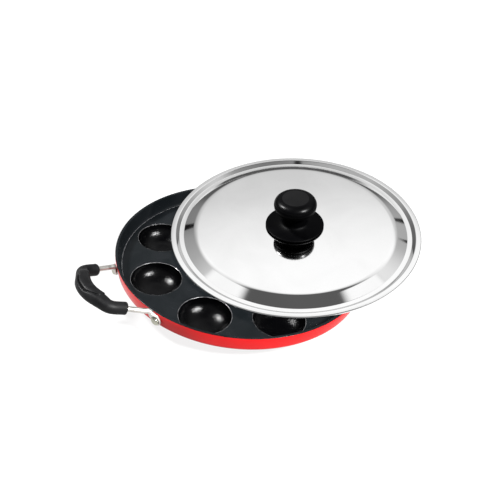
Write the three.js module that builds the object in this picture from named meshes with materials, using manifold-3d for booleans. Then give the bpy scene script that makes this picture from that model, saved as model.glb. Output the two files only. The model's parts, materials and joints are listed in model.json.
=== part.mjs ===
// A twelve-cup paniyaram pan with its steel lid, as an assembly of separate solids.
// Millimetres, +Z up. The origin is on the pan's axis, on the flat cooking floor between the cups.
// +X and -X run through the two handles. The lid has been slid towards +X: it leans on the rim
// and on the grip of the right handle, with its other edge hanging inside the pan.

import * as THREE from 'three';
import { mergeVertices } from 'three/addons/utils/BufferGeometryUtils.js';
import Module from 'manifold-3d';

const wasm = await Module();
wasm.setup();

// Pan, pressed from one sheet
const RIM_RADIUS = 115;
const WALL_HEIGHT = 13;
const PAN_SHEET = 2.5;
const WALL_SPREAD = 1.9;
const CORNER_RADIUS = 1.2;
const RIM_UPRIGHT = 1.5;

// Cups
const OUTER_CUPS = 8;
const OUTER_RING_RADIUS = 82;
const OUTER_CUP_TURN = 33.9;
const INNER_CUPS = 4;
const INNER_RING_RADIUS = 35.5;
const INNER_CUP_TURN = 56.4;
const CUP_MOUTH_RADIUS = 23.2;
const CUP_LIP = 0.8;
const CUP_DEPTH = 14;
const CUP_FOOT_RADIUS = 6;
const CUP_FLARE = 1.1;

// Handles: a bent wire with flattened, riveted ends, and a moulded grip round it
const WIRE_DIAMETER = 4.4;
const RIVET_ANGLE = 18.6;
const RIVET_DROP = 7;
const LUG_WIDTH = 9.5;
const LUG_THICKNESS = 2.4;
const LUG_NECK = 9.5;
const LUG_SLOPE = 57;
const WIRE_ELBOW = 5;
const GRIP_START_REACH = 16.3;
const GRIP_START_HALF = 28.1;
const GRIP_START_RISE = 7.7;
const GRIP_CORNER_REACH = 30.5;
const GRIP_CORNER_HALF = 24;
const GRIP_CORNER_RISE = 13;
const GRIP_BAR_REACH = 35.6;
const GRIP_BAR_RISE = 15;
const GRIP_LEG_DIAMETER = 11;
const GRIP_BAR_WIDTH = 15.5;
const GRIP_BAR_THICKNESS = 12;
const GRIP_BAR_LENGTH = 30;
const GRIP_RECESS_LENGTH = 28;
const GRIP_RECESS_WIDTH = 5.5;
const GRIP_RECESS_DEPTH = 1.3;
const GRIP_END_ROUND = 1.5;

// Rivets
const RIVET_SHANK_DIAMETER = 4.4;
const RIVET_HEAD_DIAMETER = 8;
const RIVET_HEAD_HEIGHT = 2;
const RIVET_TAIL_DIAMETER = 7.2;
const RIVET_TAIL_HEIGHT = 1.2;

// Lid, spun from thin sheet; heights are from the middle of its flat hem
const LID_RADIUS = 119.7;
const LID_SHEET = 0.8;
const HEM_WIDTH = 4.9;
const HEM_THICKNESS = 1.8;
const HEM_FOLD = 2.2;
const HEM_ROUND = 0.8;
const GUTTER_CLEARANCE = 0.5;
const GUTTER_WIDTH = 4.5;
const GUTTER_DEPTH = 2.4;
const CONE_WIDTH = 11.8;
const DISC_HEIGHT = 2;
const DISC_ROUND = 2.5;
const BEND_ROUND = 1.6;
const LID_SLIDE = 61.6;

// Knob and its fastening
const KNOB_HEIGHT = 32;
const KNOB_CAP_DIAMETER = 40.6;
const KNOB_CAP_HEIGHT = 13;
const KNOB_CAP_LEDGE = 1.2;
const KNOB_LEDGE_HEIGHT = 2.2;
const KNOB_TOP_DIAMETER = 25;
const KNOB_CROWN = 0.6;
const KNOB_NECK_DIAMETER = 24;
const KNOB_FLANGE_DIAMETER = 56;
const KNOB_FLANGE_EDGE = 2;
const KNOB_FLANGE_HEIGHT = 6;
const INSERT_DIAMETER = 8;
const INSERT_LENGTH = 12;
const SCREW_DIAMETER = 5;
const SCREW_GRIP = 10;
const SCREW_HEAD_DIAMETER = 9.5;
const SCREW_HEAD_HEIGHT = 2.6;
const WASHER_DIAMETER = 15;
const WASHER_THICKNESS = 1;

// Space left between pieces that touch
const FIT_GAP = 0.3;
const REST_GAP = 0.4;

// Facets
const PAN_SIDES = 60;
const CUP_SIDES = 18;
const CUP_STEPS = 3;
const LIP_STEPS = 2;
const FLARE_STEPS = 1;
const LID_SIDES = 48;
const KNOB_SIDES = 22;
const FASTENER_SIDES = 10;
const WIRE_SIDES = 8;
const WIRE_STEPS = 34;
const LUG_ARC_STEPS = 7;
const GRIP_SIDES = 10;
const GRIP_STEPS = 14;
const HEM_STEPS = 3;
const BEND_STEPS = 1;
const CORNER_STEPS = 3;

const degrees = THREE.MathUtils.degToRad;
const point = (x, y) => new THREE.Vector2(x, y);

// Finishes
function finish(color, roughness, metalness) {
  return new THREE.MeshStandardMaterial({ color, roughness, metalness });
}

const redEnamel = () => finish(0xd9242a, 0.35, 0.1);
const brightWire = () => finish(0xb9bcc0, 0.3, 1.0);
const blackGrip = () => finish(0x17171a, 0.6, 0.0);
const rivetMetal = () => finish(0xc9ccd0, 0.35, 1.0);
const polishedSteel = () => finish(0xdedfe2, 0.08, 1.0);
const blackKnob = () => finish(0x111113, 0.4, 0.0);
const zincSteel = () => finish(0xa9adb2, 0.4, 1.0);
const brass = () => finish(0xb8923e, 0.4, 1.0);

// Solids: a geometry as a closed body for cutting and joining, and a body back as a mesh

function signedVolume(position, index) {
  const [a, b, c] = [new THREE.Vector3(), new THREE.Vector3(), new THREE.Vector3()];
  let sum = 0;
  for (let i = 0; i < index.length; i += 3) {
    a.fromBufferAttribute(position, index[i]);
    b.fromBufferAttribute(position, index[i + 1]);
    c.fromBufferAttribute(position, index[i + 2]);
    sum += a.dot(b.cross(c));
  }
  return sum;
}

function solid(geometry) {
  const bare = new THREE.BufferGeometry();
  bare.setAttribute('position', geometry.getAttribute('position').clone());
  if (geometry.index) bare.setIndex(geometry.index.clone());
  const merged = mergeVertices(bare);
  const position = merged.getAttribute('position');
  const corners = [];
  for (let i = 0; i < merged.index.count; i += 3) {
    const [a, b, c] = [0, 1, 2].map((k) => merged.index.getX(i + k));
    if (a !== b && b !== c && c !== a) corners.push(a, b, c);
  }
  if (signedVolume(position, corners) < 0) corners.reverse();
  return new wasm.Manifold(new wasm.Mesh({
    numProp: 3,
    vertProperties: new Float32Array(position.array),
    triVerts: new Uint32Array(corners),
  }));
}

function mesh(name, body, material) {
  const data = body.getMesh();
  const geometry = new THREE.BufferGeometry();
  geometry.setAttribute('position', new THREE.BufferAttribute(data.vertProperties, 3));
  geometry.setIndex(new THREE.BufferAttribute(data.triVerts, 1));
  geometry.computeVertexNormals();
  const made = new THREE.Mesh(geometry, material);
  made.name = name;
  return made;
}

// A profile of (radius, height) points turned about the Z axis
function turned(profile, sides) {
  return new THREE.LatheGeometry(profile, sides).rotateX(Math.PI / 2);
}

// Points on an arc, from one angle to another in degrees
function arc(x, y, radius, from, to, steps) {
  return Array.from({ length: steps + 1 }, (_, i) => {
    const angle = degrees(from + ((to - from) * i) / steps);
    return point(x + radius * Math.cos(angle), y + radius * Math.sin(angle));
  });
}

// A sheet's middle line given its thickness: one side out, the other side back
function thickened(line, thickness) {
  const side = (sign) => line.map((here, i) => {
    const before = line[Math.max(i - 1, 0)];
    const after = line[Math.min(i + 1, line.length - 1)];
    const arriving = here.clone().sub(before).normalize();
    const leaving = after.clone().sub(here).normalize();
    if (i === 0) arriving.copy(leaving);
    if (i === line.length - 1) leaving.copy(arriving);
    const mitre = arriving.clone().add(leaving).normalize();
    const reach = thickness / 2 / mitre.dot(leaving);
    return point(here.x - sign * mitre.y * reach, here.y + sign * mitre.x * reach);
  });
  return [...side(1), ...side(-1).reverse()];
}

// A corner of a sheet's middle line, rounded by a curve between two points on its legs
function roundedCorner(before, corner, after, size) {
  const start = corner.clone().sub(before).setLength(size).negate().add(corner);
  const end = after.clone().sub(corner).setLength(size).add(corner);
  return new THREE.QuadraticBezierCurve(start, corner, end).getPoints(BEND_STEPS);
}

// Pan

const WALL_LEAN = Math.atan2(WALL_SPREAD, WALL_HEIGHT);
const RIM_INNER_RADIUS = RIM_RADIUS - PAN_SHEET;

// Middle line of the tray: floor, corner, leaning wall and the short upright rim
function trayLine() {
  const wallTop = point(RIM_RADIUS - PAN_SHEET / 2, WALL_HEIGHT - RIM_UPRIGHT);
  const middle = -PAN_SHEET / 2;
  const bend = CORNER_RADIUS + PAN_SHEET / 2;
  const wallFoot = wallTop.x - (wallTop.y - middle) * Math.tan(WALL_LEAN);
  const setback = bend * Math.tan((Math.PI / 2 - WALL_LEAN) / 2);
  const lean = THREE.MathUtils.radToDeg(WALL_LEAN);
  const corner = arc(wallFoot - setback, middle + bend, bend, -90, -lean, CORNER_STEPS);
  return [point(0, middle), ...corner, wallTop, point(wallTop.x, WALL_HEIGHT)];
}

// Radius of the wall's outer face at a height on its leaning part
function wallFace(height) {
  const bottom = WALL_HEIGHT - RIM_UPRIGHT;
  const thicknessAcross = PAN_SHEET / 2 / Math.cos(WALL_LEAN);
  return RIM_RADIUS - PAN_SHEET / 2 - (bottom - height) * Math.tan(WALL_LEAN) + thicknessAcross;
}

const CUP_WALL_RADIUS = CUP_MOUTH_RADIUS - CUP_LIP;

// The bowl of a cup, grown outwards by a sheet thickness for its underside: a quarter ellipse
// that is upright at the lip and flat at the foot
function bowl(grown, startHeight) {
  const across = CUP_WALL_RADIUS - CUP_FOOT_RADIUS + grown;
  const down = CUP_DEPTH - CUP_LIP + grown;
  const start = Math.asin((-startHeight - CUP_LIP) / down);
  return Array.from({ length: CUP_STEPS + 1 }, (_, i) => {
    const angle = start + ((Math.PI / 2 - start) * i) / CUP_STEPS;
    return point(CUP_FOOT_RADIUS + across * Math.cos(angle), -CUP_LIP - down * Math.sin(angle));
  });
}

function cupHollow() {
  const top = CUP_LIP;
  const lip = arc(CUP_MOUTH_RADIUS, -CUP_LIP, CUP_LIP, 90, 180, LIP_STEPS);
  const wall = bowl(0, -CUP_LIP);
  const mouth = point(CUP_MOUTH_RADIUS, top);
  return turned([point(0, top), mouth, ...lip, ...wall.slice(1), point(0, -CUP_DEPTH)], CUP_SIDES);
}

function cupShell() {
  const flareFoot = -PAN_SHEET - CUP_FLARE;
  const wall = bowl(PAN_SHEET, flareFoot);
  const flareRadius = wall[0].x + CUP_FLARE;
  const flare = arc(flareRadius, flareFoot, CUP_FLARE, 90, 180, FLARE_STEPS);
  const top = -PAN_SHEET / 2;
  const foot = point(0, -CUP_DEPTH - PAN_SHEET);
  return turned([point(0, top), point(flareRadius, top), ...flare, ...wall.slice(1), foot], CUP_SIDES);
}

function cupCentres() {
  const ring = (count, radius, turn) => Array.from({ length: count }, (_, i) => {
    const angle = degrees(turn + (360 * i) / count);
    return new THREE.Vector3(radius * Math.cos(angle), radius * Math.sin(angle), 0);
  });
  return [
    ...ring(OUTER_CUPS, OUTER_RING_RADIUS, OUTER_CUP_TURN),
    ...ring(INNER_CUPS, INNER_RING_RADIUS, INNER_CUP_TURN),
  ];
}

// A rivet's place on the wall: its Z axis points out of the wall and its X axis down the slope of the lug
function rivetFrame(handleAngle, side) {
  const angle = degrees(handleAngle + side * RIVET_ANGLE);
  const height = WALL_HEIGHT - RIVET_DROP;
  const radial = new THREE.Vector3(Math.cos(angle), Math.sin(angle), 0);
  const along = new THREE.Vector3(-Math.sin(angle), Math.cos(angle), 0).multiplyScalar(side);
  const outward = radial.clone().multiplyScalar(Math.cos(WALL_LEAN));
  outward.z = -Math.sin(WALL_LEAN);
  const down = radial.clone().multiplyScalar(-Math.sin(WALL_LEAN));
  down.z = -Math.cos(WALL_LEAN);
  const slope = degrees(LUG_SLOPE);
  const lug = along.multiplyScalar(Math.cos(slope)).addScaledVector(down, Math.sin(slope));
  const across = outward.clone().cross(lug);
  const place = radial.multiplyScalar(wallFace(height));
  place.z = height;
  return new THREE.Matrix4().makeBasis(lug, across, outward).setPosition(place);
}

const HANDLE_ANGLES = { left: 180, right: 0 };
const RIVET_SIDES = [-1, 1];

function panBody() {
  const tray = trayLine();
  let body = solid(turned(thickened(tray, PAN_SHEET), PAN_SIDES));
  const moved = (geometry, centre) => solid(geometry.clone().translate(centre.x, centre.y, centre.z));
  const centres = cupCentres();
  const shell = cupShell();
  const hollow = cupHollow();
  for (const centre of centres) body = body.add(moved(shell, centre));
  for (const centre of centres) body = body.subtract(moved(hollow, centre));
  const holeRadius = RIVET_SHANK_DIAMETER / 2 + FIT_GAP;
  for (const angle of Object.values(HANDLE_ANGLES)) {
    for (const side of RIVET_SIDES) {
      const hole = new THREE.CylinderGeometry(holeRadius, holeRadius, PAN_SHEET * 3, FASTENER_SIDES);
      hole.rotateX(Math.PI / 2).applyMatrix4(rivetFrame(angle, side));
      body = body.subtract(solid(hole));
    }
  }
  return body;
}

// Handles, built for the one at +X

const WIRE_OFFSET = FIT_GAP + WIRE_DIAMETER / 2;
const WIRE_START = RIVET_HEAD_DIAMETER / 2 + 2 * FIT_GAP;
const GRIP_FIRST = 3;
const GRIP_LAST = 7;

// The bent wire's middle line, from lug to lug
function wireCurve() {
  const onWall = (side, back) => new THREE.Vector3(-back, 0, WIRE_OFFSET).applyMatrix4(rivetFrame(0, side));
  const out = (reach, half, rise) => new THREE.Vector3(RIM_RADIUS + reach, half, WALL_HEIGHT + rise);
  const half = (side) => {
    const bend = onWall(side, LUG_NECK);
    const start = out(GRIP_START_REACH, side * GRIP_START_HALF, GRIP_START_RISE);
    const elbow = start.clone().sub(bend).setLength(WIRE_ELBOW).add(bend);
    const corner = out(GRIP_CORNER_REACH, side * GRIP_CORNER_HALF, GRIP_CORNER_RISE);
    return [onWall(side, WIRE_START), bend, elbow, start, corner];
  };
  const bar = out(GRIP_BAR_REACH, 0, GRIP_BAR_RISE);
  return new THREE.CatmullRomCurve3([...half(-1), bar, ...half(1).reverse()]);
}

const WIRE = wireCurve();
const GRIP_FROM = GRIP_FIRST / (WIRE.points.length - 1);
const GRIP_TO = GRIP_LAST / (WIRE.points.length - 1);

function tube(curve, radius, steps, sides) {
  const circle = new THREE.EllipseCurve(0, 0, radius, radius).getPoints(sides);
  const section = new THREE.Shape(circle.slice(0, sides));
  return new THREE.ExtrudeGeometry(section, { steps, extrudePath: curve, bevelEnabled: false });
}

// The flattened end of the wire: a drop-shaped plate with its rivet hole
function lug(side) {
  const shape = new THREE.Shape();
  shape.absarc(0, 0, LUG_WIDTH / 2, degrees(-110), degrees(110), false);
  shape.lineTo(-LUG_NECK, WIRE_DIAMETER / 2);
  shape.lineTo(-LUG_NECK, -WIRE_DIAMETER / 2);
  const hole = new THREE.Path();
  hole.absarc(0, 0, RIVET_SHANK_DIAMETER / 2 + FIT_GAP, 0, Math.PI * 2, true);
  shape.holes.push(hole);
  const settings = { depth: LUG_THICKNESS, bevelEnabled: false, curveSegments: LUG_ARC_STEPS };
  const plate = new THREE.ExtrudeGeometry(shape, settings).translate(0, 0, FIT_GAP);
  return plate.applyMatrix4(rivetFrame(0, side));
}

function handleWire() {
  let body = solid(tube(WIRE, WIRE_DIAMETER / 2, WIRE_STEPS, WIRE_SIDES));
  for (const side of RIVET_SIDES) body = body.add(solid(lug(side)));
  return body;
}

// Directions at a point of the grip: along the wire, away from the pan, and up out of the handle's plane
function gripFrame(t) {
  const first = WIRE.points[GRIP_FIRST];
  const bar = WIRE.points[(GRIP_FIRST + GRIP_LAST) / 2];
  const plane = new THREE.Vector3(first.z - bar.z, 0, bar.x - first.x).normalize();
  const along = WIRE.getTangent(t);
  const outward = along.clone().cross(plane).normalize();
  return { centre: WIRE.getPoint(t), outward, up: outward.clone().cross(along) };
}

// How far a point of the grip belongs to its crossbar: 0 on the legs, 1 on the bar
function barShare(t) {
  return 1 - THREE.MathUtils.smoothstep(Math.abs(WIRE.getPoint(t).y), GRIP_BAR_LENGTH / 2, GRIP_START_HALF);
}

function gripHalfSizes(t) {
  const leg = GRIP_LEG_DIAMETER / 2;
  const share = barShare(t);
  return {
    across: THREE.MathUtils.lerp(leg, GRIP_BAR_WIDTH / 2, share),
    up: THREE.MathUtils.lerp(leg, GRIP_BAR_THICKNESS / 2, share),
  };
}

// A skin over oval sections at chosen places on the wire, closed by a fan at each end
function loft(places, sectionAt, sides) {
  const rings = places.map((t) => {
    const { centre, outward, up } = gripFrame(t);
    const { across, high, lift } = sectionAt(t);
    return Array.from({ length: sides }, (_, k) => {
      const angle = (2 * Math.PI * k) / sides;
      return centre.clone()
        .addScaledVector(outward, across * Math.cos(angle))
        .addScaledVector(up, lift + high * Math.sin(angle));
    });
  });
  const middle = (ring) => ring.reduce((sum, p) => sum.add(p), new THREE.Vector3()).divideScalar(sides);
  const vertices = [...rings.flat(), middle(rings[0]), middle(rings[rings.length - 1])];
  const [startHub, endHub] = [vertices.length - 2, vertices.length - 1];
  const last = (rings.length - 1) * sides;
  const index = [];
  for (let k = 0; k < sides; k += 1) {
    const next = (k + 1) % sides;
    for (let r = 0; r < last; r += sides) {
      index.push(r + k, r + next, r + sides + k, r + next, r + sides + next, r + sides + k);
    }
    index.push(startHub, next, k, endHub, last + k, last + next);
  }
  const geometry = new THREE.BufferGeometry().setFromPoints(vertices);
  return geometry.setIndex(index);
}

// Evenly spaced values from one to another
function spread(from, to, steps) {
  return Array.from({ length: steps + 1 }, (_, i) => from + ((to - from) * i) / steps);
}

function gripBody() {
  const rounding = GRIP_END_ROUND / WIRE.getLength();
  const places = [GRIP_FROM, ...spread(GRIP_FROM + rounding, GRIP_TO - rounding, GRIP_STEPS), GRIP_TO];
  const skin = (t) => {
    const atEnd = t === GRIP_FROM || t === GRIP_TO;
    const { across, up } = gripHalfSizes(t);
    const drawn = atEnd ? GRIP_END_ROUND : 0;
    return { across: across - drawn, high: up - drawn, lift: 0 };
  };
  return solid(loft(places, skin, GRIP_SIDES));
}

// The long oval hollow in the top of the crossbar
function gripRecess() {
  const middle = (GRIP_FROM + GRIP_TO) / 2;
  const half = GRIP_RECESS_LENGTH / 2 / WIRE.getLength();
  const start = WIRE.getUtoTmapping(0.5 - half);
  const places = spread(start, 2 * middle - start, GRIP_STEPS / 2);
  const hollow = (t) => {
    const end = (t - middle) / (middle - start);
    const fullness = Math.sqrt(Math.max(1 - end * end, 0.02));
    return {
      across: (GRIP_RECESS_WIDTH / 2) * fullness,
      high: GRIP_RECESS_DEPTH * fullness,
      lift: gripHalfSizes(t).up,
    };
  };
  return solid(loft(places, hollow, WIRE_SIDES));
}

function handleGrip() {
  const channel = solid(tube(WIRE, WIRE_DIAMETER / 2 + FIT_GAP, WIRE_STEPS, WIRE_SIDES));
  return gripBody().subtract(gripRecess()).subtract(channel);
}

// A rivet: domed head outside the lug, shank through lug and wall, flat tail inside the pan
function rivet() {
  const shank = RIVET_SHANK_DIAMETER / 2;
  const seat = FIT_GAP + LUG_THICKNESS + FIT_GAP;
  const inside = -PAN_SHEET - FIT_GAP;
  const head = RIVET_HEAD_DIAMETER / 2;
  const tail = RIVET_TAIL_DIAMETER / 2;
  const dome = arc(0, 0, 1, 0, 90, 3).map((p) => point(p.x * head, seat + p.y * RIVET_HEAD_HEIGHT));
  dome[dome.length - 1].x = 0;
  return turned([
    point(0, inside - RIVET_TAIL_HEIGHT),
    point(tail, inside - RIVET_TAIL_HEIGHT),
    point(tail, inside),
    point(shank, inside),
    point(shank, seat),
    ...dome,
  ], FASTENER_SIDES);
}

// Lid

const GUTTER_RADIUS = RIM_INNER_RADIUS - GUTTER_CLEARANCE - LID_SHEET / 2;
const CONE_RADIUS = GUTTER_RADIUS - GUTTER_WIDTH;
const DISC_RADIUS = CONE_RADIUS - CONE_WIDTH;
const SCREW_HOLE_RADIUS = SCREW_DIAMETER / 2 + FIT_GAP;

// Middle line of the lid's sheet: disc, cone, gutter, sloping wall, and a flat hem folded under at its edge
function lidLine() {
  const disc = point(DISC_RADIUS, DISC_HEIGHT);
  const cone = point(CONE_RADIUS, -GUTTER_DEPTH);
  const gutter = point(GUTTER_RADIUS, -GUTTER_DEPTH);
  const roll = (HEM_THICKNESS - LID_SHEET) / 2;
  const shoulder = point(LID_RADIUS - HEM_WIDTH, roll);
  const foldCentre = LID_RADIUS - HEM_THICKNESS / 2;
  const fold = arc(foldCentre, 0, roll, 90, -90, HEM_STEPS);
  return [
    point(SCREW_HOLE_RADIUS, DISC_HEIGHT),
    ...roundedCorner(point(0, DISC_HEIGHT), disc, cone, DISC_ROUND),
    ...roundedCorner(disc, cone, gutter, BEND_ROUND),
    ...roundedCorner(cone, gutter, shoulder, BEND_ROUND),
    ...roundedCorner(gutter, shoulder, fold[0], HEM_ROUND),
    ...fold,
    point(foldCentre - HEM_FOLD, -roll),
  ];
}

const LID_PROFILE = thickened(lidLine(), LID_SHEET);

function lidCover() {
  return solid(turned([...LID_PROFILE, LID_PROFILE[0]], LID_SIDES));
}

// Lowest height of the lid's section at a radius, or nothing where the lid doesn't reach
function lidUnderside(radius) {
  let lowest = Infinity;
  LID_PROFILE.forEach((a, i) => {
    const b = LID_PROFILE[(i + 1) % LID_PROFILE.length];
    if ((a.x - radius) * (b.x - radius) > 0 || a.x === b.x) return;
    lowest = Math.min(lowest, a.y + ((b.y - a.y) * (radius - a.x)) / (b.x - a.x));
  });
  return lowest;
}

// Least clear height between points of the pan and a lid tilted by an angle and raised by a height
function leastClear(points, tilt, height) {
  const [c, s] = [Math.cos(tilt), Math.sin(tilt)];
  return Math.min(...points.map((p) => {
    const [x, z] = [p.x - LID_SLIDE, p.z - height];
    return lidUnderside(Math.hypot(x * c + z * s, p.y)) - (z * c - x * s);
  }));
}

// The lid's lean: it touches the rim, and the top of the right grip, with the rest gap at both
function lidLean() {
  const rim = [RIM_INNER_RADIUS, RIM_RADIUS - PAN_SHEET / 2, RIM_RADIUS].flatMap((radius) => (
    spread(0, 2 * Math.PI, 720).map((angle) => (
      new THREE.Vector3(radius * Math.cos(angle), radius * Math.sin(angle), WALL_HEIGHT)
    ))
  ));
  const grip = spread(GRIP_FROM, GRIP_TO, GRIP_STEPS * 3).flatMap((t) => {
    const { centre, outward, up } = gripFrame(t);
    const half = gripHalfSizes(t);
    return spread(0, Math.PI, GRIP_SIDES).map((angle) => centre.clone()
      .addScaledVector(outward, half.across * Math.cos(angle))
      .addScaledVector(up, half.up * Math.sin(angle)));
  });
  const heightOnRim = (tilt) => {
    let height = WALL_HEIGHT;
    for (let i = 0; i < 4; i += 1) height += (REST_GAP - leastClear(rim, tilt, height)) / Math.cos(tilt);
    return height;
  };
  let [low, high] = [0, degrees(30)];
  for (let i = 0; i < 24; i += 1) {
    const tilt = (low + high) / 2;
    if (leastClear(grip, tilt, heightOnRim(tilt)) < REST_GAP) low = tilt;
    else high = tilt;
  }
  return { tilt: high, height: heightOnRim(high) };
}

// Knob and fastening, in the lid's frame

const DISC_TOP = DISC_HEIGHT + LID_SHEET / 2;
const DISC_UNDER = DISC_HEIGHT - LID_SHEET / 2;
const KNOB_SEAT = DISC_TOP + FIT_GAP;
const INSERT_TOP = KNOB_SEAT + INSERT_LENGTH;

function knob() {
  const bore = INSERT_DIAMETER / 2 + FIT_GAP;
  const boreTop = INSERT_TOP + FIT_GAP;
  const flange = KNOB_FLANGE_DIAMETER / 2;
  const neck = KNOB_NECK_DIAMETER / 2;
  const cap = KNOB_CAP_DIAMETER / 2;
  const top = KNOB_SEAT + KNOB_HEIGHT;
  const capFoot = top - KNOB_CAP_HEIGHT;
  const flangeTop = new THREE.QuadraticBezierCurve(
    point(flange - KNOB_FLANGE_EDGE / 2, KNOB_SEAT + KNOB_FLANGE_EDGE),
    point(neck, KNOB_SEAT + KNOB_FLANGE_EDGE),
    point(neck, KNOB_SEAT + KNOB_FLANGE_HEIGHT),
  ).getPoints(4);
  const crownFoot = top - KNOB_CROWN;
  const ledge = cap - KNOB_CAP_LEDGE;
  const ledgeTop = capFoot + KNOB_LEDGE_HEIGHT;
  const domeFoot = ledgeTop + KNOB_CAP_LEDGE / 2;
  const dome = new THREE.CubicBezierCurve(
    point(cap - KNOB_CAP_LEDGE / 3, domeFoot),
    point(cap + KNOB_CAP_LEDGE * 0.6, THREE.MathUtils.lerp(domeFoot, crownFoot, 0.44)),
    point(ledge, crownFoot - KNOB_CROWN),
    point(KNOB_TOP_DIAMETER / 2, crownFoot),
  ).getPoints(6);
  return turned([
    point(0, boreTop),
    point(bore, boreTop),
    point(bore, KNOB_SEAT),
    point(flange - KNOB_FLANGE_EDGE / 2, KNOB_SEAT),
    point(flange, KNOB_SEAT + KNOB_FLANGE_EDGE / 2),
    ...flangeTop,
    point(neck, capFoot - KNOB_CAP_LEDGE),
    point(ledge - KNOB_CAP_LEDGE / 2, capFoot),
    point(ledge, capFoot + KNOB_CAP_LEDGE / 2),
    point(ledge, ledgeTop),
    ...dome,
    point(0, top),
  ], KNOB_SIDES);
}

// A plain ring round the screw
function screwRing(diameter, bottom, top) {
  const [inner, outer] = [SCREW_HOLE_RADIUS, diameter / 2];
  return solid(turned([
    point(inner, bottom),
    point(outer, bottom),
    point(outer, top),
    point(inner, top),
    point(inner, bottom),
  ], FASTENER_SIDES * 2));
}

const WASHER_TOP = DISC_UNDER - FIT_GAP;
const WASHER_BOTTOM = WASHER_TOP - WASHER_THICKNESS;

function screw() {
  const shank = SCREW_DIAMETER / 2;
  const head = SCREW_HEAD_DIAMETER / 2;
  const seat = WASHER_BOTTOM - FIT_GAP;
  const bottom = seat - SCREW_HEAD_HEIGHT;
  return turned([
    point(0, bottom),
    point(head * 0.7, bottom),
    point(head, bottom + SCREW_HEAD_HEIGHT / 2),
    point(head, seat),
    point(shank, seat),
    point(shank, KNOB_SEAT + SCREW_GRIP),
    point(0, KNOB_SEAT + SCREW_GRIP),
  ], FASTENER_SIDES * 2);
}

// Assembly

const paniyaramPan = new THREE.Group();
paniyaramPan.add(mesh('pan_body', panBody(), redEnamel()));

for (const [side, angle] of Object.entries(HANDLE_ANGLES)) {
  const handle = new THREE.Group();
  handle.rotation.z = degrees(angle);
  handle.add(mesh(`${side}_handle_wire`, handleWire(), brightWire()));
  handle.add(mesh(`${side}_handle_grip`, handleGrip(), blackGrip()));
  for (const end of RIVET_SIDES) {
    const number = RIVET_SIDES.indexOf(end) + 1;
    const pin = mesh(`${side}_handle_rivet_${number}`, solid(rivet()), rivetMetal());
    pin.applyMatrix4(rivetFrame(0, end));
    handle.add(pin);
  }
  paniyaramPan.add(handle);
}

const lean = lidLean();
const lid = new THREE.Group();
lid.position.set(LID_SLIDE, 0, lean.height);
lid.rotation.y = -lean.tilt;
lid.add(mesh('lid_cover', lidCover(), polishedSteel()));
lid.add(mesh('lid_knob', solid(knob()), blackKnob()));
lid.add(mesh('knob_insert', screwRing(INSERT_DIAMETER, KNOB_SEAT, INSERT_TOP), brass()));
lid.add(mesh('knob_washer', screwRing(WASHER_DIAMETER, WASHER_BOTTOM, WASHER_TOP), zincSteel()));
lid.add(mesh('knob_screw', solid(screw()), zincSteel()));
paniyaramPan.add(lid);

export default paniyaramPan;
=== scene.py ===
# %% [markdown]
# # A twelve-cup paniyaram pan
# The pan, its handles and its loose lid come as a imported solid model. It fixes every size and place, and
# this lesson dresses it: each visible piece is worked out again as a fine surface, and gets a finish with
# real detail.

# %% Load the solid model
import json
import math

import bmesh
import bpy
import numpy as np
from mathutils import Matrix, Vector
from mathutils.geometry import delaunay_2d_cdt

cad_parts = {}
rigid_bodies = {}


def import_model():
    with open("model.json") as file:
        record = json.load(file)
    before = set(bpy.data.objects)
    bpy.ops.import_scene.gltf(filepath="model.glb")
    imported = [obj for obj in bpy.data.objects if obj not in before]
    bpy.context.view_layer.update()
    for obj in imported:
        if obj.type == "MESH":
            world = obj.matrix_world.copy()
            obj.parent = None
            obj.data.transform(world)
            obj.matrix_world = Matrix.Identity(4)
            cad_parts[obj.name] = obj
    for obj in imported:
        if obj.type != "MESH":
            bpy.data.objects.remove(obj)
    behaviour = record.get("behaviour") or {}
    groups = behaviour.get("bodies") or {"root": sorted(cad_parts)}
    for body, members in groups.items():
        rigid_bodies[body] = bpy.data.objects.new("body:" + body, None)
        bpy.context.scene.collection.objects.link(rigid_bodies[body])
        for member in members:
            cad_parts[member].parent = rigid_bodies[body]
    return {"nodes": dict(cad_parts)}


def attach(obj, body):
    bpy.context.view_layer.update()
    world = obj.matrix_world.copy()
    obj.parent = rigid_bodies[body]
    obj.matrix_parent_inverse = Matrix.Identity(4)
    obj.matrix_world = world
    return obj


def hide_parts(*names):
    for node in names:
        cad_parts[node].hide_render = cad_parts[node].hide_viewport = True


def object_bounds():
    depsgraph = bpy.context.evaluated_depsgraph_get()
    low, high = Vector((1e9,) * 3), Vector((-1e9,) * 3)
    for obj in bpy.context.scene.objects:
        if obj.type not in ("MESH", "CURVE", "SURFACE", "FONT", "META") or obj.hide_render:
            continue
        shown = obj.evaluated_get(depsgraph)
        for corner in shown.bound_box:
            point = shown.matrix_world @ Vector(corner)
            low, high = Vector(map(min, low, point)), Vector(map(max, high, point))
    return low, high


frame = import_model()
cad_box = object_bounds()
MM = 0.001
print("solid model from", cad_box[0], "to", cad_box[1])

# %% [markdown]
# ## Camera
# The camera stands where the photograph was taken from: about 36 degrees above the table and slightly
# rolled. Its place was found by fitting the rim's ellipse and the mouths of the cups, so it is set from
# numbers, not by eye.

# %% Set up the camera
CAMERA_AZIMUTH = math.radians(231.3)
CAMERA_ELEVATION = math.radians(36.5)
CAMERA_ROLL = math.radians(6.5)
CAMERA_DISTANCE = 0.585
LOOK_AT = Vector((0, 0, 0.013))


def direction(azimuth, elevation):
    """Unit vector: (cos e cos a, cos e sin a, sin e)."""
    level = math.cos(elevation)
    return Vector((level * math.cos(azimuth), level * math.sin(azimuth), math.sin(elevation)))


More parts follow.
